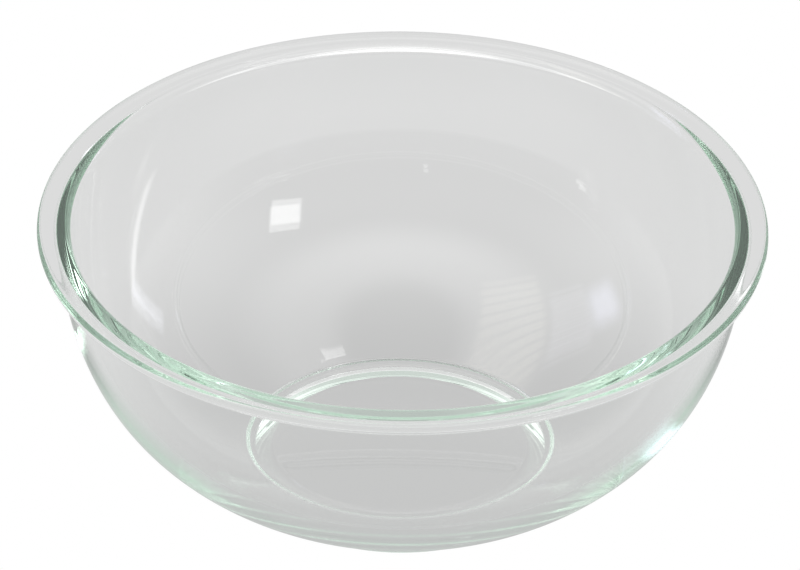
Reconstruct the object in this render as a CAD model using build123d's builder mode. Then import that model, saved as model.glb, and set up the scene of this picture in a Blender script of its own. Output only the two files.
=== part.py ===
"""A clear pressed-glass prep bowl, one piece of glass turned about a single axis.

Millimetres, +Z up. The origin is the centre of the foot ring's face, on the surface that the bowl
stands on, and Z is the axis of the bowl.
"""

import os
from math import cos, radians, sin

from build123d import *

os.makedirs("parts", exist_ok=True)

# ---- Overall form ----
rim_diameter = 268.0  # over the outermost edge of the rim
bowl_height = 108.0  # from the foot ring's face to the top of the rim

# ---- Rim: a flat collar that stands out past the wall and ends in a round edge ----
rim_thickness = 4.6
rim_overhang = 7.3  # how far the collar stands out past the neck of the wall
neck_height = 3.0  # straight stretch of wall right under the collar
under_rim_round = 1.5  # hollow corner between the neck and the collar
lip_round = 2.5  # inner edge of the rim, where the contents are poured over

# ---- Wall: steep under the rim, then turning ever further in towards the foot ----
wall_flare = 3.5  # degrees from upright, at the neck
heel_lean = 61.0  # degrees from upright, where the wall meets the foot ring
upper_pull = 59.4  # how long the outside keeps the direction of the neck
lower_pull = 36.0  # how long the outside keeps the direction of the heel
wall_thickness = 5.2  # glass at the neck
heel_thickness = 6.5  # glass at the heel, thicker because the gob is pressed from the bottom

# ---- Floor and foot ring ----
floor_thickness = 5.0  # glass between the flat floor inside and the hollow underneath
floor_round = 19.0  # easing between the sloping wall and the flat floor inside
foot_diameter = 121.0  # outside of the foot ring
foot_height = 4.0  # outside face of the foot ring, up to the crisp line at the heel
foot_width = 5.0  # of the ring, measured along a radius
foot_round = 2.0  # both lower edges of the foot ring
heel_round = 0.8  # hollow corner between the foot ring and the wall
hollow_round = 1.2  # corner between the foot ring and the hollow underneath
hollow_draft = 17.0  # degrees from upright, of the ring's inner face, so that the mould lets go


def toward(start, lean, distance):
    """The point a distance away from start, down and in along a line that leans from upright."""
    return start - Vector(sin(radians(lean)), cos(radians(lean))) * distance


def inside(outer_point, lean, thickness):
    """The point on the inner surface, square across the glass from a point on the outer one."""
    return outer_point + Vector(-cos(radians(lean)), sin(radians(lean))) * thickness


def round_corner(sketch, place, radius):
    """Rounds the one corner of a sketch that stands at a place."""
    fillet(sketch.vertices().sort_by_distance(place)[0], radius)


# ---- Places that follow from the sizes, as radius and height ----
rim_radius = rim_diameter / 2
rim_half = rim_thickness / 2
collar_height = bowl_height - rim_thickness
foot_radius = foot_diameter / 2

neck_top = Vector(rim_radius - rim_overhang, collar_height)
neck_bottom = toward(neck_top, wall_flare, neck_height)
heel = Vector(foot_radius, foot_height)

inner_neck = inside(neck_bottom, wall_flare, wall_thickness)
inner_heel = inside(heel, heel_lean, heel_thickness)
lip_rise = (bowl_height - inner_neck.Y) / cos(radians(wall_flare))
lip_corner = toward(inner_neck, wall_flare, -lip_rise)

# The inner curve has the form of the outer one, drawn between its own two ends.
inner_share = (inner_heel - inner_neck).length / (heel - neck_bottom).length

floor_height = inner_heel.Y - floor_round * (1 - sin(radians(heel_lean)))
hollow_height = floor_height - floor_thickness
ring_inside = Vector(foot_radius - foot_width, 0)
hollow_side = hollow_height / cos(radians(hollow_draft))
hollow_corner = toward(ring_inside, -hollow_draft, -hollow_side)


# ---- The bowl: its half section, turned once about the axis ----
with BuildPart() as bowl:
    with BuildSketch(Plane.XZ) as section:
        with BuildLine():
            # Outside, from the foot ring's face up to the collar.
            Polyline(ring_inside, (foot_radius, 0), heel)
            Bezier(
                heel,
                toward(heel, heel_lean, -lower_pull),
                toward(neck_bottom, wall_flare, upper_pull),
                neck_bottom,
            )
            Polyline(neck_bottom, neck_top, (rim_radius - rim_half, collar_height))

            # Rim: the round outer edge, then the flat top and the inner corner.
            ThreePointArc(
                (rim_radius - rim_half, collar_height),
                (rim_radius, collar_height + rim_half),
                (rim_radius - rim_half, bowl_height),
            )
            Polyline((rim_radius - rim_half, bowl_height), lip_corner, inner_neck)

            # Inside, down the wall and on to the flat floor.
            Bezier(
                inner_neck,
                toward(inner_neck, wall_flare, upper_pull * inner_share),
                toward(inner_heel, heel_lean, -lower_pull * inner_share),
                inner_heel,
            )
            easing = JernArc(
                start=inner_heel,
                tangent=toward(Vector(0, 0), heel_lean, 1),
                radius=floor_round,
                arc_size=heel_lean - 90,
            )

            # Across the floor to the axis, down through it, and out along the hollow underneath.
            Polyline(
                easing @ 1,
                (0, floor_height),
                (0, hollow_height),
                hollow_corner,
                ring_inside,
            )
        make_face()

        fillet(section.vertices().group_by(Axis.Y)[0], foot_round)
        round_corner(section, hollow_corner, hollow_round)
        round_corner(section, heel, heel_round)
        round_corner(section, neck_top, under_rim_round)
        round_corner(section, lip_corner, lip_round)
    revolve(axis=Axis.Z)

bowl.part.label = "bowl"
export_step(bowl.part, "parts/bowl.step")
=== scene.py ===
"""A clear pressed-glass prep bowl on a white studio table, laid out as a Blender add-on.

Lengths are metres, and the origin is the centre of the foot ring's face.  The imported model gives
the rim's diameter and the height, and the sizes below give the section of the glass between them.
"""

from math import cos, pi, radians, sin, tan

import bmesh
import bpy
from bpy.props import FloatProperty, FloatVectorProperty, IntProperty, PointerProperty
from mathutils import Euler, Matrix, Vector
from mathutils.geometry import interpolate_bezier


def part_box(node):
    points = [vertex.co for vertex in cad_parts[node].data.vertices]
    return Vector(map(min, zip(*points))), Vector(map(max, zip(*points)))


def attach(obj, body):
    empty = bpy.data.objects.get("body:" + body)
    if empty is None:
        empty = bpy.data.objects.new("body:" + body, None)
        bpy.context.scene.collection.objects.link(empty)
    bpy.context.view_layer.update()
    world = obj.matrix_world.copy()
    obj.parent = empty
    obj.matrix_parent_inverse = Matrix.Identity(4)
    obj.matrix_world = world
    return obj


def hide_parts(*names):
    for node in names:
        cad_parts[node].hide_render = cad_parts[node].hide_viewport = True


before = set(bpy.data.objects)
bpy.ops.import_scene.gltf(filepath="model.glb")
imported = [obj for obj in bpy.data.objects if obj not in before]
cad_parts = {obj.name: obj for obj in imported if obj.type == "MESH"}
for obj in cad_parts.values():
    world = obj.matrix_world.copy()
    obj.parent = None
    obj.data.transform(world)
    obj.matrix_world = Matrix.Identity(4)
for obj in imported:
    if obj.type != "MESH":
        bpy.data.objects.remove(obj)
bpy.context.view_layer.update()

bl_info = {
    "name": "Prep Bowl",
    "version": (1, 0, 0),
    "blender": (4, 5, 0),
    "location": "View3D > Sidebar > Prep Bowl",
    "description": "Presses a clear glass prep bowl and lays out its studio table",
    "category": "Add Mesh",
}

MM = 0.001

CAD_LOW, CAD_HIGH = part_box("bowl")


def srgb(code):
    """The linear colour of an sRGB hex value such as 'e4efe6'."""

    def linear(channel):
        return channel / 12.92 if channel <= 0.04045 else ((channel + 0.055) / 1.055) ** 2.4

    return tuple(linear(int(code[i : i + 2], 16) / 255) for i in (0, 2, 4))


WHITE = (*srgb("ffffff"), 1)


# ---------------------------------------------------------------- sizes and colours


class PrepBowlSizes(bpy.types.PropertyGroup):
    """The half section of the glass."""

    rim_radius: FloatProperty(
        name="Rim radius",
        description="To the outermost edge of the collar",
        default=min(CAD_HIGH.x - CAD_LOW.x, CAD_HIGH.y - CAD_LOW.y) / 2,
        subtype="DISTANCE",
        unit="LENGTH",
    )
    height: FloatProperty(
        name="Height",
        description="From the foot ring's face to the top of the rim",
        default=CAD_HIGH.z,
        subtype="DISTANCE",
        unit="LENGTH",
    )
    rim_thickness: FloatProperty(
        name="Rim thickness",
        description="Of the collar, which ends in a half round",
        default=4.6 * MM,
        subtype="DISTANCE",
        unit="LENGTH",
    )
    rim_overhang: FloatProperty(
        name="Rim overhang",
        description="How far the collar stands out past the neck of the wall",
        default=7.3 * MM,
        subtype="DISTANCE",
        unit="LENGTH",
    )
    wall: FloatProperty(
        name="Wall at the neck",
        description="Glass between the inside and the outside, under the collar",
        default=5.2 * MM,
        subtype="DISTANCE",
        unit="LENGTH",
    )
    heel_wall: FloatProperty(
        name="Wall at the heel",
        description="Glass between the inside and the outside, above the foot ring",
        default=6.5 * MM,
        subtype="DISTANCE",
        unit="LENGTH",
    )
    floor: FloatProperty(
        name="Floor",
        description="Glass between the flat floor and the hollow underneath",
        default=5.0 * MM,
        subtype="DISTANCE",
        unit="LENGTH",
    )
    foot_radius: FloatProperty(
        name="Foot radius",
        description="To the outside of the foot ring",
        default=60.5 * MM,
        subtype="DISTANCE",
        unit="LENGTH",
    )
    turn_steps: IntProperty(
        name="Turn steps",
        description="Divisions of the full turn",
        default=300,
    )


class PrepBowlLook(bpy.types.PropertyGroup):
    """The glass and the light on it."""

    tint: FloatVectorProperty(
        name="Glass tint",
        description="Colour that light keeps on its way through the glass",
        subtype="COLOR",
        default=srgb("cbf5db"),
    )
    tint_density: FloatProperty(
        name="Tint density",
        description="Absorption per metre of glass",
        default=2.4,
    )
    ceiling: FloatProperty(
        name="Overhead light",
        description="Brightness of the soft light overhead",
        default=1.35,
    )
    back_wall: FloatProperty(
        name="Light from behind",
        description="Brightness of the pale wall behind the bowl",
        default=0.7,
    )
    front_wall: FloatProperty(
        name="Light from the front",
        description="Brightness of the dark room behind the camera",
        default=0.09,
    )


# ---------------------------------------------------------------- the section of the glass

NECK_HEIGHT = 3.0 * MM  # straight stretch of wall right under the collar
WALL_FLARE = radians(3.5)  # from upright, at the neck
HEEL_LEAN = radians(61.0)  # from upright, where the wall meets the foot ring
UPPER_PULL = 59.4 * MM  # how long the outside keeps the direction of the neck
LOWER_PULL = 36.0 * MM  # how long the outside keeps the direction of the heel
FOOT_HEIGHT = 4.0 * MM
FOOT_WIDTH = 3.3 * MM  # of the foot ring's face, before its edges are rounded
HOLLOW_SLOPE = radians(75.0)  # from upright, of the ring's inner flank

FLOOR_ROUND = 19.0 * MM  # easing between the wall and the flat floor inside
LIP_ROUND = 2.5 * MM  # inner edge of the rim, where the contents are poured over
FOOT_ROUND = 2.0 * MM  # outer edge of the foot ring's face
FLANK_ROUND = 0.6 * MM  # inner edge of the foot ring's face
UNDER_RIM_ROUND = 1.5 * MM  # hollow corner between the neck and the collar
HOLLOW_ROUND = 1.2 * MM  # between the ring's flank and the hollow underneath
HEEL_ROUND = 0.8 * MM  # hollow corner between the foot ring and the wall

WALL_POINTS = 64
ROUND_SEGMENTS = 8
LONGEST_EDGE = 2.5 * MM
HAIR = 0.001 * MM  # points that are closer than this are one point


def toward(start, lean, distance):
    """The point a distance from start, down and in along a line that leans from upright."""
    return start - Vector((sin(lean), 0, cos(lean))) * distance


def across(outer, lean, glass):
    """The point on the inside, square across the glass from a point on the outside."""
    return outer + Vector((-cos(lean), 0, sin(lean))) * glass


def at(radius, height):
    """The point at a radius and a height, in the plane of the section."""
    return Vector((radius, 0, height))


def half_section(size):
    """Half the outline of the section, as a wire from the axis underneath to the axis inside."""
    collar = size.height - size.rim_thickness
    neck_top = at(size.rim_radius - size.rim_overhang, collar)
    neck = toward(neck_top, WALL_FLARE, NECK_HEIGHT)
    heel = at(size.foot_radius, FOOT_HEIGHT)
    inner_neck = across(neck, WALL_FLARE, size.wall)
    inner_heel = across(heel, HEEL_LEAN, size.heel_wall)
    lip = toward(inner_neck, WALL_FLARE, (inner_neck.z - size.height) / cos(WALL_FLARE))

    easing_drop = FLOOR_ROUND * (1 - sin(HEEL_LEAN))
    floor_height = inner_heel.z - easing_drop
    floor_corner = toward(inner_heel, HEEL_LEAN, easing_drop / cos(HEEL_LEAN))
    hollow_height = floor_height - size.floor
    ring_inside = at(size.foot_radius - FOOT_WIDTH, 0)
    ring_outside = at(size.foot_radius, 0)
    hollow = toward(ring_inside, -HOLLOW_SLOPE, -hollow_height / cos(HOLLOW_SLOPE))
    edge_low = at(size.rim_radius, collar)
    edge_high = at(size.rim_radius, size.height)

    # The inside has the form of the outside, drawn between its own two ends.
    share = (inner_heel - inner_neck).length / (heel - neck).length
    outside = interpolate_bezier(
        heel,
        toward(heel, HEEL_LEAN, -LOWER_PULL),
        toward(neck, WALL_FLARE, UPPER_PULL),
        neck,
        WALL_POINTS,
    )
    inside = interpolate_bezier(
        inner_neck,
        toward(inner_neck, WALL_FLARE, UPPER_PULL * share),
        toward(inner_heel, HEEL_LEAN, -LOWER_PULL * share),
        inner_heel,
        WALL_POINTS,
    )
    corners = [at(0, hollow_height), hollow, ring_inside, ring_outside, *outside]
    corners += [neck_top, edge_low, edge_high, lip, *inside, floor_corner, at(0, floor_height)]

    outline = bmesh.new()
    verts = [outline.verts.new(corner) for corner in corners]
    for start, end in zip(verts, verts[1:]):
        outline.edges.new((start, end))

    # A hair less than half, so that the edge's two rounds stay apart and each finds its corner.
    half_rim = size.rim_thickness / 2 - HAIR
    for corner, radius in (
        (hollow, HOLLOW_ROUND),
        (ring_inside, FLANK_ROUND),
        (ring_outside, FOOT_ROUND),
        (heel, HEEL_ROUND),
        (neck_top, UNDER_RIM_ROUND),
        (edge_low, half_rim),
        (edge_high, half_rim),
        (lip, LIP_ROUND),
        (floor_corner, FLOOR_ROUND - HAIR),
    ):
        round_corner(outline, corner, radius)
    bmesh.ops.remove_doubles(outline, verts=outline.verts, dist=HAIR)
    divide_edges(outline, LONGEST_EDGE)
    return outline


def round_corner(outline, corner, radius):
    """Rounds one corner of the wire with an arc that touches both of its edges."""
    vert = min(outline.verts, key=lambda v: (v.co - corner).length)
    one, other = (edge.other_vert(vert).co - vert.co for edge in vert.link_edges)
    bmesh.ops.bevel(
        outline,
        geom=[vert],
        offset=radius / tan(one.angle(other) / 2),
        offset_type="OFFSET",
        segments=ROUND_SEGMENTS,
        profile=0.5,
        affect="VERTICES",
        material=-1,
    )


def divide_edges(outline, longest):
    """Cuts each edge of the wire into equal parts no longer than the longest that is wanted."""
    for edge in list(outline.edges):
        cuts = int(edge.calc_length() / longest)
        if cuts:
            bmesh.ops.subdivide_edges(outline, edges=[edge], cuts=cuts)


# ---------------------------------------------------------------- nodes and materials

SMOOTH = {"interpolation_type": "SMOOTHSTEP"}


def node(tree, kind, links=(), **settings):
    """Adds a node with its settings, and sets or links its inputs, by name or in their order."""
    made = tree.nodes.new(kind)
    for name, value in settings.items():
        setattr(made, name, value)
    for name, value in links.items() if isinstance(links, dict) else enumerate(links):
        if isinstance(value, bpy.types.NodeSocket):
            tree.links.new(value, made.inputs[name])
        else:
            made.inputs[name].default_value = value
    return made


def new_material(name):
    """An empty material and its node tree."""
    material = bpy.data.materials.new(name)
    material.use_nodes = True
    material.node_tree.nodes.clear()
    return material, material.node_tree


GLASS_IOR = 1.52  # soda-lime glass
GLASS_BOUNCES = 96
RIPPLE_SPACING = 24 * MM  # of the soft waves that the iron mould leaves in the surface
RIPPLE_HEIGHT = 0.02 * MM
RIPPLE_DETAIL = 1.0
RIPPLE_GRAIN = 0.3
SCUFF_SPACING = 0.8 * MM  # of the scratches on the foot ring's face, coarser than real so they show
SCUFF_HEIGHT = 0.15 * MM  # above the table, where the scratches end
SCUFF_ROUGHNESS = 0.3


def pressed_glass(look):
    """Soda-lime glass, pressed in an iron mould and fire polished.

    To the eye it is clear, smooth and faintly green.  It is greenest where the light runs a long
    way through it, and a little dull on the foot ring's face, where the bowl has stood.
    """
    material, tree = new_material("pressed_soda_lime_glass")
    place = node(tree, "ShaderNodeTexCoord").outputs["Object"]
    ripples = node(
        tree,
        "ShaderNodeTexNoise",
        {
            "Vector": place,
            "Scale": 1 / RIPPLE_SPACING,
            "Detail": RIPPLE_DETAIL,
            "Roughness": RIPPLE_GRAIN,
        },
    ).outputs["Fac"]
    skin = node(
        tree,
        "ShaderNodeBump",
        {"Height": ripples, "Distance": RIPPLE_HEIGHT, "Strength": 1.0},
    ).outputs["Normal"]

    height = node(tree, "ShaderNodeSeparateXYZ", [place]).outputs["Z"]
    grain = node(
        tree, "ShaderNodeTexNoise", {"Vector": place, "Scale": 1 / SCUFF_SPACING}
    ).outputs["Fac"]
    worn = node(
        tree, "ShaderNodeMapRange", [height, 0, SCUFF_HEIGHT, SCUFF_ROUGHNESS, 0], **SMOOTH
    ).outputs["Result"]
    worn = node(tree, "ShaderNodeMath", [worn, grain], operation="MULTIPLY").outputs["Value"]

    glass = node(
        tree,
        "ShaderNodeBsdfPrincipled",
        {
            "Transmission Weight": 1.0,
            "IOR": GLASS_IOR,
            "Roughness": worn,
            "Base Color": WHITE,
            "Normal": skin,
        },
    ).outputs["BSDF"]
    tint = node(
        tree,
        "ShaderNodeVolumeAbsorption",
        {"Color": (*look.tint, 1), "Density": look.tint_density},
    ).outputs["Volume"]
    node(tree, "ShaderNodeOutputMaterial", {"Surface": glass, "Volume": tint})
    return material


# ---------------------------------------------------------------- the table

TABLE_RADIUS = 3.0
TABLE_SEGMENTS = 64
TABLE_GAP = 0.1 * MM  # between the table and the foot ring's face
TABLE_WHITE = 1.0  # to the eye

# The table as it looks through the glass, with painted shade: a painted shadow under the bowl, and
# its painted brightness out in the open.
SHADE_INNER = 62 * MM
SHADE_OUTER = 180 * MM
SHADE_DEEP = 0.54
SHADE_OPEN = 0.72

# A painted reflection of the narrow window on the right: a bright streak along the table that
# points at the bowl.
RIGHT_WINDOW = 121  # degrees from the front to the right
SHEEN_START = 180 * MM
SHEEN_FULL = 216 * MM
SHEEN_SLOPE = radians(5)  # of the streak's edges, away from its middle line
SHEEN_LIGHT = 1.5


def studio_table():
    """White sheet plastic, matt, drawn as a glow with painted light, as though lit from all round.

    It is pure white to the eye, and pale grey through the glass, with a painted shadow under the
    bowl and a painted reflection of the narrow window.
    """
    material, tree = new_material("white_table_painted_light")
    place = node(tree, "ShaderNodeTexCoord").outputs["Object"]
    flat = node(
        tree, "ShaderNodeVectorMath", [place, (1, 1, 0)], operation="MULTIPLY"
    ).outputs["Vector"]
    radius = node(tree, "ShaderNodeVectorMath", [flat], operation="LENGTH").outputs["Value"]
    # Painted shadow: the table's glow is darker under the bowl than out in the open.
    shade = node(
        tree,
        "ShaderNodeMapRange",
        [radius, SHADE_INNER, SHADE_OUTER, SHADE_DEEP, SHADE_OPEN],
        **SMOOTH,
    ).outputs["Result"]

    # How far a point lies along the streak's middle line, and how far to the side of it.
    turn = radians(RIGHT_WINDOW)
    along, aside = (
        node(
            tree, "ShaderNodeVectorMath", [flat, direction], operation="DOT_PRODUCT"
        ).outputs["Value"]
        for direction in ((sin(turn), -cos(turn), 0), (cos(turn), sin(turn), 0))
    )
    slope = node(tree, "ShaderNodeMath", [aside, along], operation="DIVIDE").outputs["Value"]
    slope = node(tree, "ShaderNodeMath", [slope], operation="ABSOLUTE").outputs["Value"]
    # Painted reflection of the window: brightest on the streak's middle line and fading towards its
    # edges.
    painted_reflection = node(
        tree, "ShaderNodeMapRange", [slope, 0, SHEEN_SLOPE, SHEEN_LIGHT, 0], **SMOOTH
    ).outputs["Result"]
    start = node(
        tree, "ShaderNodeMapRange", [along, SHEEN_START, SHEEN_FULL, 0, 1], **SMOOTH
    ).outputs["Result"]
    shade = node(
        tree, "ShaderNodeMath", [painted_reflection, start, shade], operation="MULTIPLY_ADD"
    ).outputs["Value"]

    # The table glows though it is no lamp: pure white to the camera, and everywhere else the
    # painted light and shade above.
    eye = node(tree, "ShaderNodeLightPath").outputs["Is Camera Ray"]
    seen = node(
        tree, "ShaderNodeMix", {"Factor": eye, "A": shade, "B": TABLE_WHITE}
    ).outputs["Result"]
    glow = node(tree, "ShaderNodeEmission", {"Strength": seen}).outputs["Emission"]
    node(tree, "ShaderNodeOutputMaterial", {"Surface": glow})
    return material


# ---------------------------------------------------------------- the room

# How far a direction points to the back, from -1 to 1: where the dark room in front ends, and where
# the pale wall behind is full.
FRONT_END = -0.7
BACK_START = 0.1

SWEEP_TOP = radians(16)  # where the glow of the white table on the walls ends
SWEEP_GLOW = 0.22
CEILING_LOW = radians(40)  # where the walls end
CEILING_HIGH = radians(60)  # where the light overhead is full
ZENITH_LOW = radians(67)  # the ceiling straight above the bowl, which is less bright
ZENITH_HIGH = radians(77)
ZENITH_LIGHT = 0.7

# Each lamp or window that shows in the glass, as a flat rectangle that faces the bowl.  In degrees:
# its place, turning from the front to the right and rising from the horizon, its roll, its width
# and height, how soft its edges are, and the spacing of its slats.  Then its colour and strength.
LAMPS = (
    # turn, up, roll, width, height, soft, slats, colour, strength
    (48, 29.5, 23, 11, 12, 1.2, 0, "ffffff", 3.4),  # softbox, in front on the right
    (-103, 31, 0, 13, 10, 6, 0, "e2e4ff", 1.9),  # lower half of the window on the left
    (-104, 43, 90, 12, 22, 2.5, 2.3, "e9e6f4", 0.7),  # the same window's blind
    (-100, 60, 90, 18, 34, 3, 3.1, "f6f1df", 0.6),  # daylight on the ceiling over it
    (RIGHT_WINDOW, 6, 0, 5, 22, 2.5, 0, "f1f2ff", 1.8),  # narrow window on the right
    (-65, 2.5, 0, 3, 2, 1, 0, "ffffff", 2.5),  # small lamp on the left
    (-8, 16.5, 0, 1.6, 1.6, 0.8, 0, "ffffff", 2.5),  # small lamp in front
    (48, 12, 10, 13, 0.5, 0.4, 0, "ffffff", 2.0),  # thin lamp under the softbox
    (102, 69.4, 68, 7.3, 0.8, 0.5, 0, "ffffff", 3.0),  # thin lamp on the ceiling
)
LAMP_SIDE = 0.1  # how far a direction points towards a lamp, before that side of the room is lit
SLAT_EDGE = -0.2  # where a slat's shadow ends, on a wave from -1 to 1
SLAT_SHADOW = 0.3  # brightness in the shadow


def lit_rectangle(tree, way, turn, up, roll, width, height, soft, slats):
    """Is 1 where a way out of the bowl meets a flat lamp, and falls softly to 0 at its edges."""
    facing = Euler((radians(90 + up), 0, radians(turn + 180))).to_matrix()
    facing = facing @ Matrix.Rotation(radians(roll), 3, "Z")
    right, above, back = (facing.col[axis] for axis in range(3))
    ahead = node(
        tree, "ShaderNodeVectorMath", [way, -back], operation="DOT_PRODUCT"
    ).outputs["Value"]
    lit = node(
        tree, "ShaderNodeMapRange", [ahead, 0, LAMP_SIDE, 0, 1], **SMOOTH
    ).outputs["Result"]

    for direction, angle in ((right, width), (above, height)):
        side = node(
            tree, "ShaderNodeVectorMath", [way, direction], operation="DOT_PRODUCT"
        ).outputs["Value"]
        place = node(tree, "ShaderNodeMath", [side, ahead], operation="DIVIDE").outputs["Value"]
        distance = node(tree, "ShaderNodeMath", [place], operation="ABSOLUTE").outputs["Value"]
        edge = tan(radians(angle / 2))
        fade = radians(soft / 2)
        inside = node(
            tree, "ShaderNodeMapRange", [distance, edge - fade, edge + fade, 1, 0], **SMOOTH
        ).outputs["Result"]
        lit = node(tree, "ShaderNodeMath", [lit, inside], operation="MULTIPLY").outputs["Value"]

    # The slats follow one another along the second of the two sides, the lamp's height.
    if slats:
        pace = 2 * pi / radians(slats)
        wave = node(tree, "ShaderNodeMath", [place, pace], operation="MULTIPLY").outputs["Value"]
        wave = node(tree, "ShaderNodeMath", [wave], operation="SINE").outputs["Value"]
        slat = node(
            tree, "ShaderNodeMapRange", [wave, -1, SLAT_EDGE, SLAT_SHADOW, 1], **SMOOTH
        ).outputs["Result"]
        lit = node(tree, "ShaderNodeMath", [lit, slat], operation="MULTIPLY").outputs["Value"]
    return lit


def studio_room(look):
    """What the glass mirrors: light overhead, a pale wall behind, a dark room in front, lamps."""
    room = bpy.data.worlds.new("studio_room")
    room.use_nodes = True
    tree = room.node_tree
    tree.nodes.clear()
    way = node(tree, "ShaderNodeTexCoord").outputs["Generated"]
    _, y, z = node(tree, "ShaderNodeSeparateXYZ", [way]).outputs
    rise = node(tree, "ShaderNodeMath", [z], operation="ARCSINE").outputs["Value"]

    walls = node(
        tree,
        "ShaderNodeMapRange",
        [y, FRONT_END, BACK_START, look.front_wall, look.back_wall],
        **SMOOTH,
    ).outputs["Result"]
    glow = node(
        tree, "ShaderNodeMapRange", [rise, 0, SWEEP_TOP, SWEEP_GLOW, 0], **SMOOTH
    ).outputs["Result"]
    light = node(tree, "ShaderNodeMath", [walls, glow], operation="ADD").outputs["Value"]
    for low, high, brightness in (
        (CEILING_LOW, CEILING_HIGH, look.ceiling),
        (ZENITH_LOW, ZENITH_HIGH, ZENITH_LIGHT),
    ):
        share = node(tree, "ShaderNodeMapRange", [rise, low, high, 0, 1], **SMOOTH)
        light = node(
            tree,
            "ShaderNodeMix",
            {"Factor": share.outputs["Result"], "A": light, "B": brightness},
        ).outputs["Result"]
    light = node(tree, "ShaderNodeCombineXYZ", [light, light, light]).outputs["Vector"]

    for *form, code, strength in LAMPS:
        lamp = lit_rectangle(tree, way, *form)
        colour = [channel * strength for channel in srgb(code)]
        light = node(
            tree, "ShaderNodeVectorMath", [lamp, colour, light], operation="MULTIPLY_ADD"
        ).outputs["Vector"]

    eye = node(tree, "ShaderNodeLightPath").outputs["Is Camera Ray"]
    mirrored = node(tree, "ShaderNodeBackground", {"Color": light}).outputs["Background"]
    seen = node(tree, "ShaderNodeBackground", {"Color": WHITE}).outputs["Background"]
    mix = node(tree, "ShaderNodeMixShader", [eye, mirrored, seen]).outputs["Shader"]
    node(tree, "ShaderNodeOutputWorld", {"Surface": mix})
    return room


# ---------------------------------------------------------------- the camera

CAMERA_DISTANCE = 2.412  # from the middle of the rim
CAMERA_SIDE = -0.73 * MM  # to the right
CAMERA_RISE = radians(32.92)  # above the plane of the rim
CAMERA_PITCH = radians(33.45)  # downwards
CAMERA_ROLL = radians(0.68)
CAMERA_NEAR = 10 * MM
CAMERA_FAR = 20.0
LENS = 296.1  # millimetres
SENSOR_WIDTH = 36.0  # millimetres


# ---------------------------------------------------------------- operators


class PREPBOWL_OT_bowl(bpy.types.Operator):
    """Press the bowl: turn its section about the axis and give it its glass"""

    bl_idname = "prepbowl.bowl"
    bl_label = "Press Bowl"
    bl_options = {"REGISTER", "UNDO"}

    def execute(self, context):
        size = context.scene.prep_bowl_sizes
        glass = half_section(size)
        bmesh.ops.spin(
            glass,
            geom=glass.verts[:] + glass.edges[:],
            cent=(0, 0, 0),
            axis=(0, 0, 1),
            angle=2 * pi,
            steps=size.turn_steps,
            use_merge=True,
        )
        bmesh.ops.remove_doubles(glass, verts=glass.verts, dist=HAIR)
        bmesh.ops.recalc_face_normals(glass, faces=glass.faces)
        for face in glass.faces:
            face.smooth = True

        mesh = bpy.data.meshes.new("glass_bowl")
        glass.to_mesh(mesh)
        glass.free()
        mesh.materials.append(pressed_glass(context.scene.prep_bowl_look))
        bowl = bpy.data.objects.new("glass_bowl", mesh)
        context.collection.objects.link(bowl)
        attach(bowl, "root")
        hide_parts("bowl")
        return {"FINISHED"}


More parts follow.
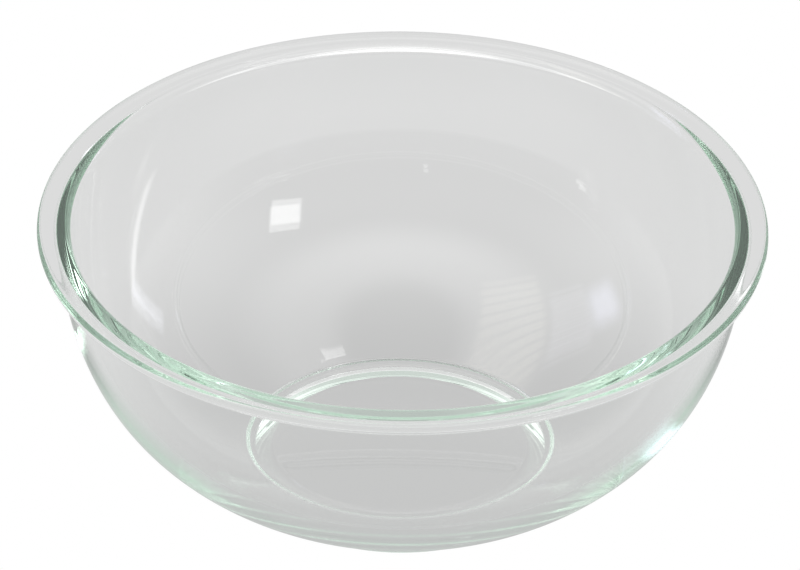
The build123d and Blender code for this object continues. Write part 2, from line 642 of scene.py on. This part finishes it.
class PREPBOWL_OT_studio(bpy.types.Operator):
    """Lay out the white table, the soft light and the camera"""

    bl_idname = "prepbowl.studio"
    bl_label = "Lay Out Studio"
    bl_options = {"REGISTER", "UNDO"}

    def execute(self, context):
        scene = context.scene
        top = bmesh.new()
        bmesh.ops.create_circle(top, cap_ends=True, segments=TABLE_SEGMENTS, radius=TABLE_RADIUS)
        bmesh.ops.translate(top, verts=top.verts, vec=(0, 0, -TABLE_GAP))
        mesh = bpy.data.meshes.new("studio_table")
        top.to_mesh(mesh)
        top.free()
        mesh.materials.append(studio_table())
        table = bpy.data.objects.new("studio_table", mesh)
        context.collection.objects.link(table)

        scene.world = studio_room(scene.prep_bowl_look)

        eye = bpy.data.cameras.new("studio_camera")
        eye.sensor_width = SENSOR_WIDTH
        eye.sensor_fit = "HORIZONTAL"
        eye.lens = LENS
        eye.clip_start = CAMERA_NEAR
        eye.clip_end = CAMERA_FAR
        camera = bpy.data.objects.new("studio_camera", eye)
        context.collection.objects.link(camera)
        away = Vector((0, -cos(CAMERA_RISE), sin(CAMERA_RISE))) * CAMERA_DISTANCE
        away.x = CAMERA_SIDE
        rim_centre = Vector((0, 0, CAD_HIGH.z - scene.prep_bowl_sizes.rim_thickness / 2))
        camera.matrix_world = (
            Matrix.Translation(rim_centre + away)
            @ Matrix.Rotation(pi / 2 - CAMERA_PITCH, 4, "X")
            @ Matrix.Rotation(CAMERA_ROLL, 4, "Z")
        )
        scene.camera = camera

        # Light runs round inside the rim and the wall many times before it comes out.
        scene.cycles.max_bounces = GLASS_BOUNCES
        scene.cycles.transmission_bounces = GLASS_BOUNCES
        scene.cycles.glossy_bounces = GLASS_BOUNCES
        scene.view_settings.view_transform = "Standard"
        return {"FINISHED"}


class PREPBOWL_PT_panel(bpy.types.Panel):
    """Sizes and colours of the bowl, and a button for each step"""

    bl_idname = "PREPBOWL_PT_panel"
    bl_label = "Prep Bowl"
    bl_space_type = "VIEW_3D"
    bl_region_type = "UI"
    bl_category = "Prep Bowl"

    def draw(self, context):
        for group in (context.scene.prep_bowl_sizes, context.scene.prep_bowl_look):
            box = self.layout.box()
            for name in group.bl_rna.properties.keys():
                if name not in ("rna_type", "name"):
                    box.prop(group, name)
        self.layout.operator(PREPBOWL_OT_bowl.bl_idname)
        self.layout.operator(PREPBOWL_OT_studio.bl_idname)


CLASSES = (
    PrepBowlSizes,
    PrepBowlLook,
    PREPBOWL_OT_bowl,
    PREPBOWL_OT_studio,
    PREPBOWL_PT_panel,
)


def register():
    for cls in CLASSES:
        bpy.utils.register_class(cls)
    bpy.types.Scene.prep_bowl_sizes = PointerProperty(type=PrepBowlSizes)
    bpy.types.Scene.prep_bowl_look = PointerProperty(type=PrepBowlLook)


def unregister():
    del bpy.types.Scene.prep_bowl_look
    del bpy.types.Scene.prep_bowl_sizes
    for cls in reversed(CLASSES):
        bpy.utils.unregister_class(cls)


def main():
    register()
    bpy.ops.prepbowl.bowl()
    bpy.ops.prepbowl.studio()


if __name__ == "__main__":
    main()
